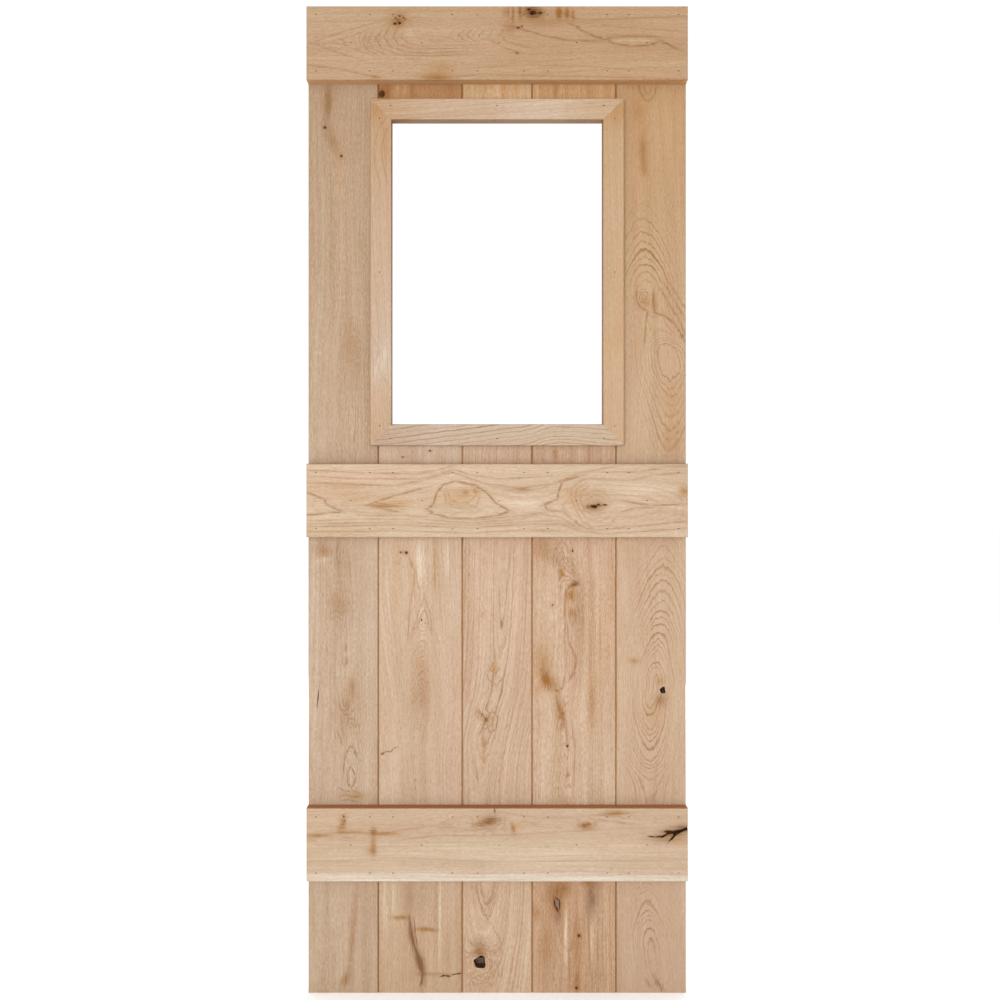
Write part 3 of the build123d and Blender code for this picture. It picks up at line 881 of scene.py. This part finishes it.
OAKS["middle_ledge"] = Oak(
    along="X",
    tones=(
        (305, (213, 184, 155)), (450, (214, 187, 159)), (560, (214, 187, 159)), (690, (211, 182, 153)),
    ),
    pith=((304, 506, 60), (400, 507, 46), (459, 508, 40), (530, 508, 50), (594, 506, 34), (690, 508, 60)),
    ring_width=6.0, flow=0.25, plain_rings=0.3, grain=0.75,
    knots=(
        (465.5, 492.5, 7, 6, AMBER, 0.5), (594, 506.5, 15, 8, DARK, 0.8), (595, 507, 9, 5, BLACK),
        (598.5, 504.5, 8, 5, DARK, 0.5), (605, 505, 10, 4, DARK, 0.4), (588, 507, 8, 4, UMBER, 0.4),
    ),
    eyes=((464, 492, 34, 22, 3, 0.5), (595, 504, 70, 50, 4, 0.3)),
    stains=(
        (459, 497, 70, 34, ORANGE, 0.45), (476, 491, 14, 18, ORANGE, 0.7, -20),
        (394, 503, 80, 14, ORANGE, 0.6), (380, 507, 50, 9, RUST, 0.5), (390, 511, 40, 8, RUST, 0.4),
        (521.6, 489, 32, 9, RUST, 0.8), (684, 492, 22, 24, RUST, 0.7), (575, 497, 50, 60, ORANGE, 0.35),
        (594, 500, 70, 50, RUST, 0.28), (594, 507, 32, 14, BROWN, 0.7), (345, 486, 100, 12, ORANGE, 0.5),
        (352, 496, 90, 20, ORANGE, 0.3), (525, 503, 60, 20, CREAM, 0.3), (640, 493, 90, 20, CREAM, 0.15),
    ),
    contours=(
        (2.4, 1.1, ((307, 492.6), (323.7, 499), (327, 504.6), (342, 511.7), (328, 512.8), (306, 515.4))),
        (2.0, 0.7, ((306, 470), (367, 473), (415, 474), (438, 470), (452, 466))),
        (2.0, 0.7, ((306, 476), (367, 479), (420, 479), (440, 474), (453, 469), (470, 475), (500, 479),
            (540, 477))),
        (2.2, 0.7, ((306, 482.8), (341, 483.5), (393, 486), (425, 480), (441, 475), (453, 472))),
        (2.4, 1.1, ((423.7, 488), (397.7, 494.8), (378, 501), (369, 505), (400, 506.5))),
        (2.2, 0.7, ((374, 506.5), (393, 511), (400, 512))),
        (2.2, 0.7, ((376, 503), (392, 505), (402, 509))),
        (2.4, 1.25, ((427, 510), (433.5, 503.5), (436.8, 492.6), (443.3, 485), (456.3, 481), (476, 486))),
        (2.4, 1.25, ((476, 486), (486.8, 492.6), (495.5, 502.4), (509.6, 511), (497.7, 515.4),
            (473.7, 518.7))),
        (2.4, 1.25, ((473.7, 518.7), (449.8, 517.6), (434.6, 514.3), (427, 510))),
        (1.8, 0.6, ((444, 491), (446, 501), (454, 507), (465, 509), (476, 506), (480, 497))),
        (1.8, 0.6, ((447, 490), (450, 499), (458, 503.5), (470, 501.5), (476, 495), (474, 488))),
        (1.8, 0.6, ((582, 480), (572, 488), (570.5, 497), (576, 510), (582, 521), (593, 527), (610, 525),
            (617, 516))),
        (1.8, 0.6, ((585, 484), (576.5, 490), (575.5, 499), (580, 510), (587, 519), (600, 522),
            (611, 516))),
        (1.8, 0.6, ((589, 486), (581.5, 493), (580.5, 501), (584.5, 510), (593, 515.5), (604, 513))),
        (1.8, 0.5, ((584.5, 496), (593, 490.5), (604, 491.5), (608.5, 497))),
        (1.8, 0.5, ((587, 499), (594.5, 495), (603, 497))),
        (2.2, 0.7, ((454, 473), (486.8, 484), (519, 488), (552, 484), (580, 473), (615, 466.5))),
        (2.0, 0.5, ((470, 480), (500, 488), (519, 492), (540, 489), (556, 483))),
        (2.4, 1.25, ((580, 476), (562, 481.7), (558.5, 492.6), (557.4, 499), (544.4, 504.6), (547.7, 510))),
        (2.4, 0.9, ((547.7, 510), (563, 512), (571.6, 518.7), (583, 527))),
        (2.2, 0.6, ((576, 482), (589, 478.5), (628, 480.7), (654, 475), (680, 473))),
        (2.2, 0.6, ((600, 472), (640, 472), (664, 467), (690, 466))),
        (2.4, 1.0, ((624, 501), (650, 505.5), (680, 504.5))),
        (2.2, 0.8, ((621, 512), (635, 508), (652, 507.4))),
        (2.0, 0.7, ((306, 521), (360, 519), (420, 519), (470, 523), (520, 519), (540, 514), (560, 517))),
        (2.0, 0.7, ((560, 517), (578, 527), (600, 530), (630, 527), (690, 521))),
        (2.0, 0.7, ((306, 527), (400, 525), (470, 528), (530, 524), (560, 524), (580, 531), (605, 534),
            (690, 528))),
        (2.0, 0.7, ((306, 532), (400, 531), (470, 533), (530, 530), (560, 531))),
        (2.0, 0.7, ((360, 515.5), (400, 515.5), (430, 517), (470, 520.5), (520, 516), (545, 512))),
        (2.0, 0.6, ((306, 524), (400, 522), (470, 525), (530, 521.5), (560, 520.5), (580, 529))),
        (2.0, 0.5, ((344, 511), (390, 514), (430, 519))),
    ),
)

OAKS["bottom_ledge"] = Oak(
    along="X",
    tones=(
        (305, (207, 177, 148)), (450, (207, 178, 150)), (570, (208, 179, 151)), (690, (207, 177, 148)),
    ),
    pith=((304, 838, 60), (400, 830, 50), (491, 822, 40), (583, 828, 40), (690, 830, 50)),
    ring_width=4.4, flow=0.15, plain_rings=0.15, grain=0.65,
    figures=((480, 828, 240, 40, 0.55), (600, 822, 170, 36, 0.55), (350, 850, 160, 50, 0.4)),
    knots=(
        (490.4, 820.8, 24, 16, None, 0.0, 3.0), (491, 819, 14, 4, UMBER, 0.5),
        (488, 822.5, 12, 4, UMBER, 0.5), (494.7, 811, 2.6, 9, DARK, 0.3), (586, 825, 14, 8, None, 0.0, 2.0),
        (584, 825.5, 5, 4, UMBER, 0.6), (588.5, 824, 4, 3, UMBER, 0.6), (344, 816.5, 3, 5, DARK, 0.4),
        (344.5, 821, 3, 4, UMBER, 0.4),
    ),
    eyes=((490, 821, 40, 22, 4, 0.5, -10), (586, 825, 26, 15, 3, 0.5)),
    stains=(
        (497, 880, 1400, 24, SAPWOOD, 1.05), (530, 856, 800, 56, CREAM, 0.35),
        (343, 823, 14, 30, RUST, 0.8), (340, 829, 16, 16, RUST, 0.5), (318, 835.5, 60, 9, RUST, 0.8),
        (350, 832.5, 70, 7, RUST, 0.7), (384, 833.5, 60, 8, RUST, 0.9), (373.4, 831, 14, 16, BROWN, 0.7),
        (373.4, 845, 12, 44, RUST, 0.75), (372, 851, 22, 18, RUST, 0.6),
        (490, 821, 46, 26, BROWN, 0.7, -10), (480, 825, 20, 10, RUST, 0.7),
        (513, 828, 10, 22, RUST, 0.9, -15), (519, 826, 26, 10, ORANGE, 0.6), (586, 826, 34, 16, RUST, 0.9),
        (615, 813, 50, 12, RUST, 0.9), (672, 834, 76, 28, BROWN, 0.9, -16), (684, 828, 30, 14, BROWN, 0.6),
        (678, 842, 50, 16, ORANGE, 0.5),
    ),
    contours=(
        (1.8, 0.5, ((390, 832), (430, 826), (470, 829), (500, 830))),
        (1.8, 0.5, ((400, 840), (440, 835), (480, 836), (530, 834))),
        (1.8, 0.5, ((500, 812), (540, 818), (580, 817), (640, 812))),
        (1.8, 0.4, ((520, 834), (560, 832), (610, 829), (650, 828))),
        (1.8, 0.4, ((306, 862), (400, 858), (500, 862), (640, 860))),
    ),
    cracks=(
        (2.4, DARK, ((690, 828), (680, 830.5), (672, 831.5), (665, 831.5))),
        (1.6, DARK, ((668, 833), (663, 836.5), (655, 837), (649, 836.5))),
        (1.6, DARK, ((675, 834), (669.5, 841))),
    ),
    hollows=((673, 834, 100, 44, 2.7, HOLLOW_SHADE_AND_KNOT),),
)

# Window frame: the pith of each member's log lies outside it, at its ledged face
PITH_AWAY_PX = 50
PITH_BELOW = 3
HEAD_ROW = 110
SILL_ROW = 434.5
LEFT_COLUMN = 380
RIGHT_COLUMN = 614
STILE_ROWS = (100, 272, 445)


def rail_oak(row, tones, drift, ring_width, plain_rings):
    """Frame rail whose rings drift down by so many rows at these columns."""
    return Oak(
        along="X",
        tones=tones,
        pith=tuple((column, row + down - PITH_AWAY_PX, PITH_BELOW) for column, down in drift),
        ring_width=ring_width,
        flow=0.9,
        plain_rings=plain_rings,
        grain=0.65,
    )


def stile_oak(column, tones, lean, plain_rings):
    """Straight-grained frame stile, with rings that lean across it by so many columns."""
    leans = zip(STILE_ROWS, (-lean, 0, lean))
    return Oak(
        along="Z",
        tones=tones,
        pith=tuple((column + shift - PITH_AWAY_PX, row, PITH_BELOW) for row, shift in leans),
        ring_width=6.0,
        flow=0.9,
        plain_rings=plain_rings,
        grain=0.6,
    )


STEADY_DRIFT = ((369, 8), (497, 0), (625, -8))
SILL_DRIFT = ((369, 17), (440, 8), (500, 0), (530, -4), (548, -10), (560, -11), (600, -8), (625, -7))
HEAD_TONES = (
    (375, (197, 161, 125)), (400, (199, 165, 130)), (430, (205, 175, 146)), (490, (207, 177, 150)),
    (526, (212, 187, 161)), (556, (212, 186, 159)), (586, (206, 176, 144)), (620, (203, 171, 137)),
)
SILL_TONES = (
    (380, (196, 168, 145)), (410, (199, 173, 150)), (436, (203, 180, 158)), (490, (204, 179, 154)),
    (620, (205, 181, 155)),
)
LEFT_TONES = (
    (108, (193, 155, 117)), (145, (200, 166, 131)), (173, (201, 170, 137)), (201, (202, 170, 142)),
    (272, (205, 175, 148)), (341, (206, 178, 155)), (369, (210, 185, 162)), (397, (206, 173, 146)),
    (425, (200, 167, 134)),
)
RIGHT_TONES = (
    (108, (195, 155, 113)), (140, (203, 167, 131)), (180, (204, 169, 134)), (430, (204, 170, 135)),
)
OAKS["back_frame_head"] = rail_oak(HEAD_ROW, HEAD_TONES, STEADY_DRIFT, ring_width=6.0, plain_rings=0.4)
OAKS["back_frame_sill"] = rail_oak(SILL_ROW, SILL_TONES, SILL_DRIFT, ring_width=9.0, plain_rings=1.1)
OAKS["back_frame_left_stile"] = stile_oak(LEFT_COLUMN, LEFT_TONES, lean=10, plain_rings=0.3)._replace(
    stains=(
        (376, 110, 24, 40, ORANGE, 0.4), (386, 146, 14, 80, ORANGE, 0.35),
        (384, 356, 10, 70, CREAM, 0.3, 10), (375, 372, 8, 60, CREAM, 0.3, 14),
    ),
    contours=(
        (1.8, 0.5, ((386, 118), (378, 130), (374, 147), (375, 165), (380, 185))),
        (1.8, 0.5, ((390, 124), (384, 136), (381, 150), (383, 166), (388, 182))),
        (1.8, 0.4, ((372, 335), (378, 348), (376, 362), (382, 376), (388, 384))),
        (1.8, 0.4, ((371, 350), (374, 366), (372, 382))),
    ),
)
OAKS["back_frame_right_stile"] = stile_oak(RIGHT_COLUMN, RIGHT_TONES, lean=5, plain_rings=0.1)._replace(
    stains=((617, 112, 30, 40, ORANGE, 0.35), (614, 340, 40, 90, ORANGE, 0.2, 30)),
)

# The frame on the plain face, even in tone
PLAIN_HEAD = ((369, (206, 175, 146)), (625, (206, 175, 146)))
PLAIN_SILL = ((369, (207, 177, 149)), (625, (207, 177, 149)))
PLAIN_LEFT = ((100, (206, 174, 144)), (445, (206, 174, 144)))
PLAIN_RIGHT = ((100, (207, 175, 145)), (445, (207, 175, 145)))
OAKS["front_frame_head"] = rail_oak(HEAD_ROW, PLAIN_HEAD, STEADY_DRIFT, ring_width=6.0, plain_rings=0.3)
OAKS["front_frame_sill"] = rail_oak(SILL_ROW, PLAIN_SILL, STEADY_DRIFT, ring_width=6.0, plain_rings=0.3)
OAKS["front_frame_left_stile"] = stile_oak(LEFT_COLUMN, PLAIN_LEFT, lean=8, plain_rings=0.3)
OAKS["front_frame_right_stile"] = stile_oak(RIGHT_COLUMN, PLAIN_RIGHT, lean=6, plain_rings=0.3)

# Nail steel
STEEL_DARK = seen(52, 42, 36)
STEEL_LIGHT = seen(92, 80, 70)
TARNISH_PER_M = 900.0
TARNISH_ROUGHNESS = 0.3
STEEL_ROUGHNESS = 0.35
STEEL_METALLIC = 0.6


def steel_material():
    """Dull dark nail steel with faint tarnish."""
    tree = Tree("nail_steel")
    place = tree.node("ShaderNodeTexCoord", {}, output="Object")
    spots = tree.node("ShaderNodeTexNoise", {"Vector": place, "Scale": TARNISH_PER_M})
    colour = tree.mix(spots, STEEL_DARK, STEEL_LIGHT)
    roughness = spots * TARNISH_ROUGHNESS + STEEL_ROUGHNESS
    inputs = {"Base Color": colour, "Roughness": roughness, "Metallic": STEEL_METALLIC}
    return tree.finish(tree.node("ShaderNodeBsdfPrincipled", inputs))


def dress(node, material):
    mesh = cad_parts[node].data
    mesh.materials.clear()
    mesh.materials.append(material)


for node, oak in OAKS.items():
    dress(node, oak_material(node, oak))
steel = steel_material()
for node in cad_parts:
    if node not in OAKS:
        dress(node, steel)

# Stage: pale floor, soft studio light and the photograph's camera
FLOOR_SIDE_M = 60.0
FLOOR_COLOUR = (0.97, 0.97, 0.97, 1.0)
WORLD_COLOUR = (1.0, 1.0, 1.0, 1.0)
WORLD_STRENGTH = 1.04
SOFTBOX_SIDE_M = 2.4
FRONT_SOFTBOX_WATTS = 80.0
BACK_SOFTBOX_WATTS = 60.0
FRONT_SOFTBOX_PLACE_M = (-0.6, -3.2, 1.05)
BACK_SOFTBOX_PLACE_M = (0.6, 3.2, 1.05)
LEAF_MIDDLE_M = (0.0, 0.0, 1.0)
LEVEL_VIEW_DEG = 90

scene = bpy.context.scene


def make_floor():
    half = FLOOR_SIDE_M / 2
    mesh = bpy.data.meshes.new("floor")
    corners = [(-half, -half, 0), (half, -half, 0), (half, half, 0), (-half, half, 0)]
    mesh.from_pydata(corners, [], [(0, 1, 2, 3)])
    floor = bpy.data.objects.new("floor", mesh)
    scene.collection.objects.link(floor)
    tree = Tree("pale_floor")
    shader = tree.node("ShaderNodeBsdfDiffuse", {"Color": FLOOR_COLOUR})
    mesh.materials.append(tree.finish(shader))


def make_world():
    world = bpy.data.worlds.new("studio")
    scene.world = world
    world.use_nodes = True
    background = world.node_tree.nodes["Background"]
    background.inputs["Color"].default_value = WORLD_COLOUR
    background.inputs["Strength"].default_value = WORLD_STRENGTH


def make_softbox(name, place, watts):
    lamp = bpy.data.lights.new(name, "AREA")
    lamp.size = SOFTBOX_SIDE_M
    lamp.energy = watts
    softbox = bpy.data.objects.new(name, lamp)
    softbox.location = place
    softbox.rotation_euler = (Vector(LEAF_MIDDLE_M) - Vector(place)).to_track_quat("-Z", "Y").to_euler()
    scene.collection.objects.link(softbox)


def make_camera():
    data = bpy.data.cameras.new("photo_camera")
    data.sensor_width = SENSOR_WIDTH
    data.lens = SENSOR_WIDTH * CAMERA_DISTANCE / VIEW_WIDTH
    camera = bpy.data.objects.new("photo_camera", data)
    camera.location = Vector((CAMERA_X, CAMERA_Y, CAMERA_Z)) * MM
    camera.rotation_euler = (math.radians(LEVEL_VIEW_DEG), 0, 0)
    scene.collection.objects.link(camera)
    scene.camera = camera


make_floor()
make_world()
make_softbox("front_softbox", FRONT_SOFTBOX_PLACE_M, FRONT_SOFTBOX_WATTS)
make_softbox("back_softbox", BACK_SOFTBOX_PLACE_M, BACK_SOFTBOX_WATTS)
make_camera()
scene.view_settings.view_transform = "Standard"
